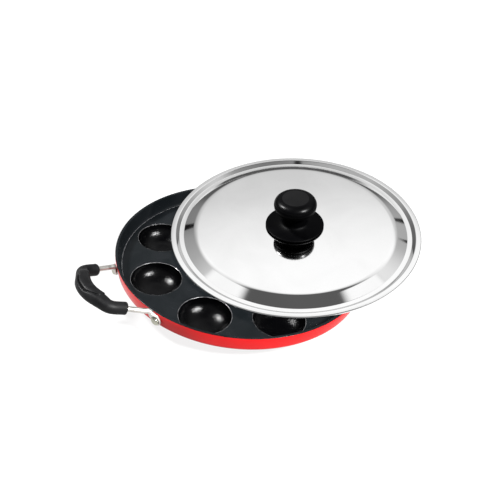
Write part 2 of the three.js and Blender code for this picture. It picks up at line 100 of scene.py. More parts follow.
back = direction(CAMERA_AZIMUTH, CAMERA_ELEVATION)
level_right = Vector((0, 0, 1)).cross(back).normalized()
level_up = back.cross(level_right)
right = math.cos(CAMERA_ROLL) * level_right + math.sin(CAMERA_ROLL) * level_up
up = back.cross(right)
camera = bpy.data.objects.new("camera", bpy.data.cameras.new("camera"))
turn = Matrix((right, up, back)).transposed().to_4x4()
camera.matrix_world = Matrix.Translation(LOOK_AT + CAMERA_DISTANCE * back) @ turn
camera.data.lens = 45.5
camera.data.sensor_width = 36
camera.data.shift_x = 0.0164
camera.data.shift_y = 0.0012
camera.data.clip_start = 0.01
bpy.context.collection.objects.link(camera)
bpy.context.scene.camera = camera
bpy.context.scene.view_settings.view_transform = "Standard"
print("camera at", camera.matrix_world.translation)

# %% [markdown]
# ## Studio
# A polished lid shows the room more than itself, so the room was read off the lid: each place on its disc
# and cone mirrors one direction. The backdrop brightens with height and falls off to the sides, the near
# side is an even grey, and the ceiling is dark. Two soft boxes make the pale patches of the cone. All of
# this is worked out from the direction alone, so it has soft edges. Two real lamps, left and right, draw
# the twin highlights in every cup.

# %% Shade the room
FLOOR_LEVEL = cad_box[0].z
scene_world = bpy.data.worlds.new("studio")
bpy.context.scene.world = scene_world
scene_world.use_nodes = True
# Ramps of (height of the direction, grey)
BACKDROP_MIDDLE = [(0.0, 0.06), (0.2, 0.12), (0.3, 0.4), (0.45, 0.62), (0.61, 0.67), (0.65, 0.73),
                   (0.69, 0.955), (0.73, 1.09), (0.78, 1.12), (0.87, 0.9), (0.92, 0.1), (1.0, 0.11)]
BACKDROP_SIDES = [(0.0, 0.1), (0.12, 0.11), (0.3, 0.15), (0.42, 0.24), (0.48, 0.33), (0.56, 0.38),
                  (0.63, 0.43), (0.68, 0.52), (0.73, 0.62), (0.78, 0.7), (0.83, 0.75), (0.89, 0.13),
                  (1.0, 0.1)]
NEAR_MIDDLE = [(0.0, 0.38), (0.3, 0.42), (0.82, 0.44), (0.9, 0.11), (1.0, 0.11)]
NEAR_SIDES = [(0.0, 0.34), (0.3, 0.38), (0.6, 0.42), (0.8, 0.5), (0.88, 0.12), (1.0, 0.11)]
SIDE_FADE = (0.06, 0.36)
NEAR_FADE = (-0.1, 0.2)
# Dark stands: direction, and radius in degrees
DARK_STANDS = [((-0.588, -0.71, 0.387), 2.2), ((0.478, -0.781, 0.401), 1.9),
               ((0.533, -0.641, 0.553), 1.6), ((-0.11, 0.556, 0.824), 4.2)]
STAND_EDGE = 0.15
STAND_SHADE = 0.02
# Soft boxes: middle and half size, across and towards the camera
SOFT_BOXES = [((-0.53, -0.17), (0.13, 0.16)), ((0.37, -0.17), (0.14, 0.17))]
BOX_RADIANCE = 1.08
BOX_FADE = (0.5, 1.8)
BOX_FOOT = (0.3, 0.5)


def add_node(tree, kind, values=None, **settings):
    """New node with its settings and the values of its unlinked inputs."""
    node = tree.nodes.new(kind)
    for key, value in settings.items():
        setattr(node, key, value)
    for key, value in (values or {}).items():
        node.inputs[key].default_value = value
    return node


def add_ramp(tree, value, stops):
    """Grey over a value, from (place, grey) stops."""
    node = add_node(tree, "ShaderNodeValToRGB")
    elements = node.color_ramp.elements
    while len(elements) < len(stops):
        elements.new(0.5)
    for element, (place, grey) in zip(elements, stops):
        element.position = place
        element.color = (grey, grey, grey, 1)
    tree.links.new(value, node.inputs[0])
    return node.outputs["Color"]


def add_step(tree, value, low, high, first=0.0, last=1.0):
    """Smooth step of a value from first, at low, to last, at high."""
    places = {1: low, 2: high, 3: first, 4: last}
    node = add_node(tree, "ShaderNodeMapRange", places, interpolation_type="SMOOTHSTEP")
    tree.links.new(value, node.inputs[0])
    return node.outputs[0]


def add_mix(tree, share, one, two):
    """Colour (1 - share) one + share two."""
    node = add_node(tree, "ShaderNodeMix", data_type="RGBA")
    for socket, value in zip((node.inputs[0], node.inputs[6], node.inputs[7]), (share, one, two)):
        tree.links.new(value, socket)
    return node.outputs[2]


def in_room(across, near, height):
    """Direction given as shares to the camera's right, towards the camera, and up."""
    ahead = Vector((back.x, back.y, 0)).normalized()
    return (across * level_right + near * ahead + Vector((0, 0, height))).normalized()


def shade_room(tree):
    """Grey by direction d: ramps over d.z, mixed by side and nearness, with dark stands and soft boxes."""
    toward = add_node(tree, "ShaderNodeTexCoord").outputs["Generated"]

    def share(axis):
        node = add_node(tree, "ShaderNodeVectorMath", {1: axis}, operation="DOT_PRODUCT")
        tree.links.new(toward, node.inputs[0])
        return node.outputs["Value"]

    def combine(operation, one, two):
        node = add_node(tree, "ShaderNodeMath", operation=operation)
        tree.links.new(one, node.inputs[0])
        tree.links.new(two, node.inputs[1])
        return node.outputs[0]

    def stand(place, size):
        rims = [math.cos(math.radians(size * rim)) for rim in (1 + STAND_EDGE, 1 - STAND_EDGE)]
        return add_step(tree, share(in_room(*place)), *rims, 1.0, STAND_SHADE)

    def squared(value, middle, half):
        node = add_node(tree, "ShaderNodeMath", {1: 1 / half, 2: -middle / half}, operation="MULTIPLY_ADD")
        tree.links.new(value, node.inputs[0])
        return combine("MULTIPLY", node.outputs[0], node.outputs[0])

    side = share(in_room(1, 0, 0))
    nearness = share(in_room(0, 1, 0))
    height = share((0, 0, 1))
    aside = add_step(tree, squared(side, 0, 1), *SIDE_FADE)

    def shade(middle, sides):
        return add_mix(tree, aside, add_ramp(tree, height, middle), add_ramp(tree, height, sides))

    backdrop = shade(BACKDROP_MIDDLE, BACKDROP_SIDES)
    near = shade(NEAR_MIDDLE, NEAR_SIDES)
    room = add_mix(tree, add_step(tree, nearness, *NEAR_FADE), backdrop, near)
    for place, size in DARK_STANDS:
        room = combine("MULTIPLY", room, stand(place, size))
    for middle, half in SOFT_BOXES:
        off = combine("ADD", squared(side, middle[0], half[0]), squared(nearness, middle[1], half[1]))
        glow = add_step(tree, off, *BOX_FADE, BOX_RADIANCE, 0.0)
        box = combine("MULTIPLY", glow, add_step(tree, height, *BOX_FOOT))
        room = combine("MAXIMUM", room, box)
    tree.nodes["Background"].inputs["Color"].default_value = (1, 1, 1, 1)
    tree.links.new(room, tree.nodes["Background"].inputs["Strength"])


shade_room(scene_world.node_tree)
print("room of", len(scene_world.node_tree.nodes), "nodes")

# %% Hang the lamps and lay the table
LAMPS = {"left": ((-0.66, -0.14, 0.74), 580), "right": ((0.52, 0.42, 0.74), 800)}
LAMP_DISTANCE = 3.0
LAMP_SIZE = 0.46
TABLE_HALF = 3
TABLE_GREY = 0.06
TABLE_GLOW = 0.86


def hang_lamp(name, toward, distance, size, radiance):
    """Round light of a given radiance L: its power is pi L times its area."""
    lamp = bpy.data.lights.new(name, "AREA")
    lamp.shape = "DISK"
    lamp.size = size
    lamp.energy = math.pi * radiance * math.pi * size * size / 4
    place = bpy.data.objects.new(name, lamp)
    turn = toward.to_track_quat("Z", "Y").to_matrix().to_4x4()
    place.matrix_world = Matrix.Translation(distance * toward) @ turn
    bpy.context.collection.objects.link(place)


for side, (place, radiance) in LAMPS.items():
    hang_lamp(f"lamp_{side}", in_room(*place), LAMP_DISTANCE, LAMP_SIZE, radiance)

table = bpy.data.meshes.new("table")
corners = np.array([[-1, -1, 0], [1, -1, 0], [1, 1, 0], [-1, 1, 0]]) * TABLE_HALF + [0, 0, FLOOR_LEVEL]
table.from_pydata(corners.tolist(), [], [[0, 1, 2, 3]])
table_top = bpy.data.objects.new("table", table)
bpy.context.collection.objects.link(table_top)
white = bpy.data.materials.new("table_white")
white.use_nodes = True
white_shader = white.node_tree.nodes["Principled BSDF"]
white_values = {
    "Base Color": (TABLE_GREY, TABLE_GREY, TABLE_GREY, 1),
    "Roughness": 0.9,
    "Specular IOR Level": 0.0,
    "Emission Color": (1, 1, 1, 1),
    "Emission Strength": TABLE_GLOW,
}
for key, value in white_values.items():
    white_shader.inputs[key].default_value = value
table.materials.append(white)
print("table at", round(FLOOR_LEVEL, 4))

# %% [markdown]
# ## Shared surface effects
# Pressed, sprayed and moulded surfaces have two things in common: a fine grain that breaks up highlights,
# and broad patches where handling has changed the gloss. Each is a node group here, so every finish sets
# its own scale.

# %% Build the grain and handling groups
def new_group(name, inputs, outputs):
    """Empty node group with float sockets, a Vector first."""
    tree = bpy.data.node_groups.new(name, "ShaderNodeTree")
    tree.interface.new_socket("Vector", in_out="INPUT", socket_type="NodeSocketVector")
    for label in inputs:
        tree.interface.new_socket(label, in_out="INPUT", socket_type="NodeSocketFloat")
    for label in outputs:
        tree.interface.new_socket(label, in_out="OUTPUT", socket_type="NodeSocketFloat")
    return tree, tree.nodes.new("NodeGroupInput"), tree.nodes.new("NodeGroupOutput")


def build_grain():
    """Height: fine noise from 0 to 1."""
    tree, given, made = new_group("surface_grain", ["Scale"], ["Height"])
    noise = add_node(tree, "ShaderNodeTexNoise", {"Detail": 3.0, "Roughness": 0.6})
    tree.links.new(given.outputs["Vector"], noise.inputs["Vector"])
    tree.links.new(given.outputs["Scale"], noise.inputs["Scale"])
    tree.links.new(noise.outputs["Fac"], made.inputs["Height"])
    return tree


def build_handling():
    """Roughness: broad soft noise, stretched between Low and High. Patch: the same noise from 0 to 1."""
    tree, given, made = new_group("handling", ["Scale", "Low", "High"], ["Roughness", "Patch"])
    noise = add_node(tree, "ShaderNodeTexNoise", {"Detail": 2.0, "Roughness": 0.5, "Distortion": 0.6})
    stretch = add_node(tree, "ShaderNodeMapRange")
    tree.links.new(given.outputs["Vector"], noise.inputs["Vector"])
    tree.links.new(given.outputs["Scale"], noise.inputs["Scale"])
    patch = add_step(tree, noise.outputs["Fac"], 0.3, 0.7)
    tree.links.new(patch, stretch.inputs[0])
    tree.links.new(given.outputs["Low"], stretch.inputs[3])
    tree.links.new(given.outputs["High"], stretch.inputs[4])
    tree.links.new(stretch.outputs[0], made.inputs["Roughness"])
    tree.links.new(patch, made.inputs["Patch"])
    return tree


GRAIN = build_grain()
HANDLING = build_handling()
print("groups:", GRAIN.name, HANDLING.name)

# %% [markdown]
# ## Finishes
# Every finish mixes two close colours by the handling patches, takes its roughness from them, and gets its
# grain as a shallow bump in real millimetres. What is the same all over, such as the sheen of the enamel,
# is set on the shader.

# %% Mix the finishes
def mix_finish(name, shade, other, gloss, patch_scale, grain_scale, grain_depth, constants):
    """Principled finish: colour from shade to other, roughness from gloss[0] to gloss[1], grain as bump."""
    material = bpy.data.materials.new(name)
    material.use_nodes = True
    tree = material.node_tree
    link = tree.links.new
    shader = tree.nodes["Principled BSDF"]
    place = add_node(tree, "ShaderNodeTexCoord")
    handling = add_node(tree, "ShaderNodeGroup", node_tree=HANDLING)
    grain = add_node(tree, "ShaderNodeGroup", node_tree=GRAIN)
    for key, value in {"Scale": patch_scale, "Low": gloss[0], "High": gloss[1]}.items():
        handling.inputs[key].default_value = value
    grain.inputs["Scale"].default_value = grain_scale
    colour = add_node(tree, "ShaderNodeMix", data_type="RGBA")
    colour.inputs[6].default_value = (*shade, 1)
    colour.inputs[7].default_value = (*other, 1)
    bump = add_node(tree, "ShaderNodeBump", {"Strength": 1.0, "Distance": grain_depth * MM})
    link(place.outputs["Object"], handling.inputs["Vector"])
    link(place.outputs["Object"], grain.inputs["Vector"])
    link(handling.outputs["Patch"], colour.inputs[0])
    link(colour.outputs[2], shader.inputs["Base Color"])
    link(handling.outputs["Roughness"], shader.inputs["Roughness"])
    link(grain.outputs["Height"], bump.inputs["Height"])
    link(bump.outputs["Normal"], shader.inputs["Normal"])
    for key, value in constants.items():
        shader.inputs[key].default_value = value
    return material


red_enamel = mix_finish(
    "red_enamel", (0.335, 0.0032, 0.0039), (0.37, 0.004, 0.0047), (0.34, 0.44), 30, 900, 0.012,
    {"Specular IOR Level": 0.09, "Sheen Weight": 0.12, "Sheen Roughness": 0.3})
nonstick = mix_finish(
    "nonstick", (0.002, 0.0026, 0.003), (0.0034, 0.004, 0.0046), (0.22, 0.28), 40, 1100, 0.012,
    {"Specular IOR Level": 0.065})
# Painted shade: a darker, less reflective copy of the nonstick for the inside of the cups, which lie deeper
# in shade than the floor.
shaded_cup_nonstick = mix_finish(
    "shaded_cup_nonstick", (0.0002, 0.0002, 0.0003), (0.0005, 0.0005, 0.0006), (0.16, 0.2), 40, 1300, 0.14,
    {"Specular IOR Level": 0.1})
# Painted highlight: a lighter grey on two rows of each cup's lip and on the wall's fillet, standing in for
# their thin bright lines.
painted_edge_highlight = mix_finish(
    "painted_edge_highlight", (0.015, 0.015, 0.0155), (0.06, 0.06, 0.062), (0.2, 0.3), 200, 900, 0.01,
    {"Specular IOR Level": 0.35})
bright_wire = mix_finish(
    "bright_wire", (0.44, 0.425, 0.4), (0.52, 0.505, 0.475), (0.36, 0.44), 160, 2500, 0.0004,
    {"Metallic": 1.0})
moulded_black = mix_finish(
    "moulded_black", (0.0022, 0.0022, 0.0024), (0.004, 0.004, 0.0043), (0.4, 0.5), 90, 2600, 0.04,
    {"Specular IOR Level": 0.08})
knob_black = mix_finish(
    "knob_black", (0.0003, 0.0003, 0.0004), (0.0006, 0.0006, 0.0007), (0.33, 0.4), 60, 1600, 0.003,
    {"Specular IOR Level": 0.12})
# Painted shade: a darker, duller copy of the knob's finish for the flange, the neck and the step under the
# cap.
shaded_flange_black = mix_finish(
    "shaded_flange_black", (0.0002, 0.0002, 0.0003), (0.0004, 0.0004, 0.0005), (0.44, 0.52), 60, 1600, 0.003,
    {"Specular IOR Level": 0.02})
# Painted shade: a darker copy of the crown's finish for the cap's side.
shaded_cap_black = mix_finish(
    "shaded_cap_black", (0.0002, 0.0002, 0.0003), (0.0004, 0.0004, 0.0005), (0.27, 0.32), 60, 1600, 0.003,
    {"Specular IOR Level": 0.045})
rivet_metal = mix_finish(
    "rivet_metal", (0.33, 0.33, 0.275), (0.42, 0.42, 0.35), (0.3, 0.4), 300, 3000, 0.0006,
    {"Metallic": 1.0})
lid_steel = mix_finish(
    "lid_steel", (0.86, 0.86, 0.86), (0.90, 0.90, 0.90), (0.03, 0.07), 25, 1500, 0.0004,
    {"Metallic": 1.0})
zinc_steel = mix_finish(
    "zinc_steel", (0.48, 0.49, 0.51), (0.56, 0.57, 0.59), (0.3, 0.45), 300, 3000, 0.01,
    {"Metallic": 1.0})
insert_brass = mix_finish(
    "insert_brass", (0.55, 0.36, 0.11), (0.62, 0.42, 0.15), (0.3, 0.45), 300, 3000, 0.01,
    {"Metallic": 1.0})
print("finishes:", len(bpy.data.materials))

# %% [markdown]
# ## Surfaces from arrays
# A turned piece is a profile carried round an axis, and a handle is a section carried along a curve. Both
# are grids of points, worked out as whole arrays. The helpers below make the grids' faces and turn them
# into a piece that rides on its body of the solid model.

# %% Helpers for grids and profiles
def ring_quads(rows, columns, loop=False):
    """Quads of a grid whose columns close into rings; with loop, the last row joins the first as well."""
    here = np.arange(rows * columns).reshape(rows, columns)
    below = np.roll(here, -1, axis=0)
    corners = np.stack([here, np.roll(here, -1, axis=1), np.roll(below, -1, axis=1), below], axis=-1)
    return corners[: rows if loop else rows - 1].reshape(-1, 4)


def turned(profile, sides):
    """Turned surface: the profile's (r, z) at angle a stands at (r cos a, r sin a, z)."""
    angle = np.linspace(0, 2 * np.pi, sides, endpoint=False)
    radius = profile[:, :1]
    height = profile[:, 1:] + 0 * angle
    return np.stack([radius * np.cos(angle), radius * np.sin(angle), height], axis=-1)


def line(start, stop, steps):
    """Even points from start to stop: start + s (stop - start)."""
    share = np.linspace(0, 1, steps + 1)[:, None]
    return np.asarray(start) + share * (np.asarray(stop) - np.asarray(start))


def arc(centre, radius, start, stop, steps):
    """Points centre + radius (cos a, sin a), a in degrees; a radius (across, up) makes an ellipse."""
    angle = np.radians(np.linspace(start, stop, steps + 1))
    return np.asarray(centre) + np.asarray(radius) * np.stack([np.cos(angle), np.sin(angle)], axis=-1)


def curve(points, steps):
    """Bezier curve: points weighed by the Bernstein polynomials C(n, k) (1 - s)^(n - k) s^k."""
    points = np.asarray(points, dtype=float)
    share = np.linspace(0, 1, steps + 1)[:, None]
    top = len(points) - 1
    order = np.arange(top + 1)
    weight = np.array([math.comb(top, k) for k in order])
    return (weight * (1 - share) ** (top - order) * share ** order) @ points


def smoothstep(value, low, high):
    """0 below low, 1 above high, and 3 t^2 - 2 t^3 between."""
    share = np.clip((value - low) / (high - low), 0, 1)
    return share * share * (3 - 2 * share)


def bell(value, middle, width):
    """Bell curve exp(-((value - middle) / width)^2)."""
    return np.exp(-((value - middle) / width) ** 2)


def unit(vectors):
    """Vectors divided by their lengths."""
    return vectors / np.linalg.norm(vectors, axis=-1, keepdims=True)


WELD = 0.008 * MM
SLIVER = 0.004 * MM
PIECES = []


def make_piece(name, points, faces, finishes, body, nodes, finish_of_face=None, crease=40):
    """Mesh in metres from points in millimetres: welded, turned outwards, smooth below the crease angle."""
    mesh = bpy.data.meshes.new(name)
    mesh.from_pydata((np.reshape(points, (-1, 3)) * MM).tolist(), [], faces)
    for material in finishes:
        mesh.materials.append(material)
    if finish_of_face is not None:
        mesh.polygons.foreach_set("material_index", finish_of_face)
    work = bmesh.new()
    work.from_mesh(mesh)
    bmesh.ops.remove_doubles(work, verts=work.verts, dist=WELD)
    bmesh.ops.dissolve_degenerate(work, edges=work.edges, dist=SLIVER)
    bmesh.ops.recalc_face_normals(work, faces=work.faces)
    open_edges = sum(1 for edge in work.edges if not edge.is_manifold)
    work.to_mesh(mesh)
    work.free()
    mesh.shade_smooth()
    mesh.set_sharp_from_angle(angle=math.radians(crease))
    piece = bpy.data.objects.new(name, mesh)
    bpy.context.collection.objects.link(piece)
    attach(piece, body)
    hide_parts(*nodes)
    PIECES.append(piece)
    print(name, len(mesh.polygons), "faces,", open_edges, "open edges")


# %% [markdown]
# ## The pressed pan
# The real body is one sheet: a shallow tray with a leaning wall, and twelve bowls pushed down out of its
# floor, eight in a ring and four inside it. Cutting bowls out of a disc by booleans would leave ragged
# shading, so every bowl is its own turned patch, the wall is a turned strip, and only the flat floor
# between the rings is filled in by a triangulation. Both faces of the sheet are made this way, black inside
# and red outside, and welded into one shell.

# %% Lay out the cups and the wall
SHEET = 2.5
RIM = 115.0
WALL_HEIGHT = 13.0
WALL_SPREAD = 1.9
WALL_LEAN = math.degrees(math.atan2(WALL_SPREAD, WALL_HEIGHT))
UPRIGHT_FOOT = 11.5
RIM_ROUND = 0.45
WALL_FOOT = (113.43, 0.665)
CORNER = 3.7
CORNER_CENTRE = (109.769, 1.2)
FILLET = 2.4
FILLET_CENTRE = (108.731, FILLET)
LIP = 0.8
MOUTH = 23.2
CUP_DEPTH = 14.0
CUP_FOOT = 6.0
CUP_BOWL = np.array([MOUTH - LIP - CUP_FOOT, LIP - CUP_DEPTH])
UNDER_DEPTH = CUP_DEPTH + SHEET
UNDER_FLARE = np.array([(25.05, 0), (24.72, 0), (24.66, -0.45)])
RING_ANGLES = np.radians(np.concatenate([33.9 + 45 * np.arange(8), 56.4 + 90 * np.arange(4)]))
RING_RADII = np.repeat([82.0, 35.5], [8, 4])
CUP_CENTRES = RING_RADII[:, None] * np.stack([np.cos(RING_ANGLES), np.sin(RING_ANGLES)], axis=-1)

cup_inside = np.concatenate([
    arc((MOUTH, -LIP), LIP, 90, 180, 6),
    arc((CUP_FOOT, -LIP), CUP_BOWL, 0, 90, 22)[1:],
    line((CUP_FOOT, -CUP_DEPTH), (0, -CUP_DEPTH), 2)[1:],
])
cup_under = np.concatenate([
    curve(UNDER_FLARE - [0, SHEET], 4),
    arc((CUP_FOOT, -LIP), CUP_BOWL + [SHEET, -SHEET], 9, 90, 15),
    line((CUP_FOOT, -UNDER_DEPTH), (0, -UNDER_DEPTH), 2)[1:],
])
coated_wall = np.concatenate([
    arc(FILLET_CENTRE, FILLET, -90, -WALL_LEAN, 8),
    line((RIM - SHEET, UPRIGHT_FOOT), (RIM - SHEET, WALL_HEIGHT - RIM_ROUND), 1),
    arc((RIM - SHEET + RIM_ROUND, WALL_HEIGHT - RIM_ROUND), RIM_ROUND, 180, 90, 4)[1:],
    arc((RIM - RIM_ROUND, WALL_HEIGHT - RIM_ROUND), RIM_ROUND, 90, 0, 4)[:-1],
])
red_wall = np.concatenate([
    [(RIM, WALL_HEIGHT - RIM_ROUND)],
    line((RIM, UPRIGHT_FOOT), WALL_FOOT, 1),
    arc(CORNER_CENTRE, CORNER, -WALL_LEAN, -90, 9)[1:],
])
wall = np.concatenate([coated_wall, red_wall])
print("profiles:", len(cup_inside), len(cup_under), len(wall))

# %% Fill the floor and weld the shell
WALL_SIDES = 256
CUP_SIDES = 72
UNDER_SIDES = 48
# The cups' coating is the darker copy of the nonstick, a painted shade.
COATING, ENAMEL, SHADED_CUP_COATING, EDGE_HIGHLIGHT = range(4)
# Rows that get the painted edge highlight: two rows of each cup's lip and the first row of the wall's
# fillet.
HIGHLIGHT_LIP_ROWS = (1, 2)
HIGHLIGHT_FILLET_ROW = 1
CHORD_SHARE = 0.9985


def sheet_between(border_radius, border_sides, hole_radius, hole_sides, height):
    """Flat sheet between a border circle and the cups' circles, by a constrained triangulation."""
    border = turned(np.array([[border_radius, 0.0]]), border_sides)[0, :, :2]
    hole = turned(np.array([[hole_radius, 0.0]]), hole_sides)[0, :, :2]
    flat = np.concatenate([border, (CUP_CENTRES[:, None] + hole).reshape(-1, 2)])
    ring = np.arange(border_sides)
    edges = [np.stack([ring, np.roll(ring, -1)], axis=-1)]
    ring = np.arange(hole_sides)
    hole_edges = np.stack([ring, np.roll(ring, -1)], axis=-1)
    starts = border_sides + hole_sides * np.arange(len(CUP_CENTRES))
    edges.append((starts[:, None, None] + hole_edges).reshape(-1, 2))
    corners = [Vector(pair) for pair in flat.tolist()]
    found = delaunay_2d_cdt(corners, np.concatenate(edges).tolist(), [], 0, 1e-5)
    spots = np.array(found[0])
    triangles = np.array(found[2])
    middles = spots[triangles].mean(axis=1)
    distance = np.linalg.norm(middles[:, None] - CUP_CENTRES, axis=-1).min(axis=1)
    triangles = triangles[distance > hole_radius * CHORD_SHARE]
    return np.column_stack([spots, np.full(len(spots), height)]), triangles


def cup_patches(profile, sides):
    """All cups at once: the turned profile, moved to each of the twelve centres."""
    patch = turned(profile, sides)
    middle = np.column_stack([CUP_CENTRES, np.zeros(len(CUP_CENTRES))])
    points = (middle[:, None, None] + patch).reshape(-1, 3)
    starts = patch.shape[0] * sides * np.arange(len(CUP_CENTRES))
    faces = starts[:, None, None] + ring_quads(len(profile), sides)
    return points, faces.reshape(-1, 4)


def gather(parts):
    """Joins (points, faces, finish) parts into one list of points and faces, with a finish per face."""
    counts = np.cumsum([0] + [len(points) for points, _, _ in parts])
    faces = [row for first, part in zip(counts, parts) for row in (part[1] + first).tolist()]
    finish = np.concatenate([np.broadcast_to(part[2], len(part[1])) for part in parts])
    return np.concatenate([part[0] for part in parts]), faces, finish.astype(np.int32)


wall_points = turned(wall, WALL_SIDES).reshape(-1, 3)
wall_faces = ring_quads(len(wall), WALL_SIDES)
wall_row = np.arange(len(wall) - 1)
wall_finish = np.where(wall_row >= len(coated_wall) - 1, ENAMEL, COATING)
wall_finish[HIGHLIGHT_FILLET_ROW] = EDGE_HIGHLIGHT
cup_row = np.arange(len(cup_inside) - 1)
cup_finish = np.where(np.isin(cup_row, HIGHLIGHT_LIP_ROWS), EDGE_HIGHLIGHT, SHADED_CUP_COATING)
shell = gather([
    (*cup_patches(cup_inside, CUP_SIDES), np.tile(np.repeat(cup_finish, CUP_SIDES), len(CUP_CENTRES))),
    (*sheet_between(wall[0, 0], WALL_SIDES, cup_inside[0, 0], CUP_SIDES, 0.0), COATING),
    (wall_points, wall_faces, np.repeat(wall_finish, WALL_SIDES)),
    (*sheet_between(wall[-1, 0], WALL_SIDES, cup_under[0, 0], UNDER_SIDES, -SHEET), ENAMEL),
    (*cup_patches(cup_under, UNDER_SIDES), ENAMEL),
])
make_piece("pressed_pan", shell[0], shell[1], [nonstick, red_enamel, shaded_cup_nonstick, painted_edge_highlight], "pan",
           ["pan_body"], shell[2])

# %% [markdown]
# ## Handle wires
# Each handle is one steel wire. Its ends are hammered flat into lugs and riveted to the wall, and its
# middle is buried in a moulded grip. The wire is a section carried along a smooth curve through the same
# points as the solid, and the section itself changes on the way, from a flat lug with a round end to a
# round wire.

# %% Carry a section along the wire
WIRE = 2.2
WIRE_LIFT = 2.5
WIRE_SIDES = 28
ELBOW = 5.0
LUG_HALF_WIDTH = 4.75
LUG_HALF_THICKNESS = 1.2
LUG_LIFT = 1.5
LUG_REACH = 4.6
LUG_NECK = 9.5
LUG_SINK = (2.5, 8.0)
LUG_FADE = (3.0, 8.5)
LUG_FULLNESS = 2.5
LUG_SLOPE = math.radians(57)
RIVET_ANGLE = math.radians(18.6)
RIVET_HEIGHT = 6.0
WALL_FACE = 114.21
FAR = 99.0
HANDS = ["right", "left"]


def rivet_frame(side):
    """Place and axes (lug, across, outward) of a rivet on the leaning wall, for the handle on +X."""
    lean = math.radians(WALL_LEAN)
    angle = side * RIVET_ANGLE
    radial = np.array([math.cos(angle), math.sin(angle), 0])
    along = side * np.array([-math.sin(angle), math.cos(angle), 0])
    outward = radial * math.cos(lean) - np.array([0, 0, math.sin(lean)])
    down = -radial * math.sin(lean) - np.array([0, 0, math.cos(lean)])
    lug = along * math.cos(LUG_SLOPE) + down * math.sin(LUG_SLOPE)
    place = radial * WALL_FACE + np.array([0, 0, RIVET_HEIGHT])
    return place, np.stack([lug, np.cross(outward, lug), outward])


def on_wall(side, behind, lift):
    """Point beside a rivet: back along the lug and off the wall."""
    place, axes = rivet_frame(side)
    behind = np.atleast_1d(behind)
    return place - behind[:, None] * axes[0] + lift * axes[2]


def handle_points(half_points):
    """Control points of a handle: one half, the bar's middle, and the mirrored half."""
    mirrored = half_points[-2::-1] * [1, -1, 1]
    return np.concatenate([half_points, mirrored])


GRIP_START = np.array([RIM + 16.3, -28.1, WALL_HEIGHT + 7.7])
GRIP_CORNER = np.array([RIM + 30.5, -24, WALL_HEIGHT + 13])
GRIP_MIDDLE = np.array([RIM + 35.6, 0, WALL_HEIGHT + 15])
lug_points = on_wall(-1, [LUG_REACH, LUG_NECK], WIRE_LIFT)
elbow = lug_points[1] + ELBOW * unit(GRIP_START - lug_points[1])
HANDLE_POINTS = handle_points(np.stack([*lug_points, elbow, GRIP_START, GRIP_CORNER, GRIP_MIDDLE]))


def handle_curve(place):
    """Centripetal Catmull-Rom curve: cubics whose slopes weigh the chords by the root of their lengths."""
    ends = [2 * HANDLE_POINTS[0] - HANDLE_POINTS[1], 2 * HANDLE_POINTS[-1] - HANDLE_POINTS[-2]]
    knots = np.concatenate([ends[:1], HANDLE_POINTS, ends[1:]])
    piece = np.clip(np.floor(place).astype(int), 0, len(HANDLE_POINTS) - 2)
    share = (place - piece)[:, None]
    before, start, stop, after = (knots[piece + k] for k in range(4))
    gaps = [np.sqrt(np.linalg.norm(b - a, axis=-1, keepdims=True))
            for a, b in ((before, start), (start, stop), (stop, after))]
    leave = (start - before) / gaps[0] - (stop - before) / (gaps[0] + gaps[1]) + (stop - start) / gaps[1]
    arrive = (stop - start) / gaps[1] - (after - start) / (gaps[1] + gaps[2]) + (after - stop) / gaps[2]
    leave, arrive = leave * gaps[1], arrive * gaps[1]
    square, cube = share ** 2, share ** 3
    return (start * (2 * cube - 3 * square + 1) + stop * (3 * square - 2 * cube)
            + leave * (cube - 2 * square + share) + arrive * (cube - square))


def swept(path, across, up, half_across, half_up, fullness, sides):
    """Section carried along a path: a |cos|^f across and b |sin|^f up, with f = 2 / fullness."""
    angle = np.linspace(0, 2 * np.pi, sides, endpoint=False)
    power = 2 / fullness[:, None]
    wide = half_across[:, None] * np.sign(np.cos(angle)) * np.abs(np.cos(angle)) ** power
    high = half_up[:, None] * np.sign(np.sin(angle)) * np.abs(np.sin(angle)) ** power
    return path[:, None] + wide[..., None] * across[:, None] + high[..., None] * up[:, None], wide, high


def wire_surface():
    """Wire from lug tip to lug tip: thickness, width and squareness follow the distance from each rivet."""
    lug_run = -LUG_HALF_WIDTH * np.cos(np.linspace(0, np.pi / 2, 18)) * (1 - 1e-4)
    lug_run = np.concatenate([lug_run, np.linspace(0, LUG_REACH, 10)[1:-1]])
    first = on_wall(-1, lug_run, WIRE_LIFT)
    path = np.concatenate([first, handle_curve(np.linspace(0, 10, 241)), first[::-1] * [1, -1, 1]])
    behind = np.full(len(path), FAR)
    for side in (-1, 1):
        place, axes = rivet_frame(side)
        near = (path[:, 1] * side > 0) & ((path - place) @ axes[2] < WIRE_LIFT + 0.1)
        behind = np.where(near, -(path - place) @ axes[0], behind)
        sunk = np.where(near, 1 - smoothstep(behind, *LUG_SINK), 0) * (WIRE_LIFT - LUG_LIFT)
        path = path - sunk[:, None] * axes[2]
    flat = 1 - smoothstep(behind, *LUG_FADE)
    width = WIRE + (LUG_HALF_WIDTH - WIRE) * flat
    width = np.where(behind < 0, np.sqrt(np.clip(LUG_HALF_WIDTH ** 2 - behind ** 2, 0, None)), width)
    thick = WIRE + (LUG_HALF_THICKNESS - WIRE) * flat
    ahead = unit(np.gradient(path, axis=0))
    share = np.linspace(0, 1, len(path))[:, None]
    starts = [rivet_frame(side)[1][1] for side in (-1, 1)]
    starts = [vector * np.sign(vector[2]) for vector in starts]
    guide = starts[0] * (1 - share) + starts[1] * share
    across = unit(guide - np.sum(guide * ahead, axis=-1, keepdims=True) * ahead)
    fullness = 2 + LUG_FULLNESS * flat
    return swept(path, across, np.cross(ahead, across), width, thick, fullness, WIRE_SIDES)[0]


def turned_about(points, half_turns):
    """Points turned about the pan's axis by half turns: the left handle is the right one turned once."""
    return points * ([-1, -1, 1] if half_turns else [1, 1, 1])


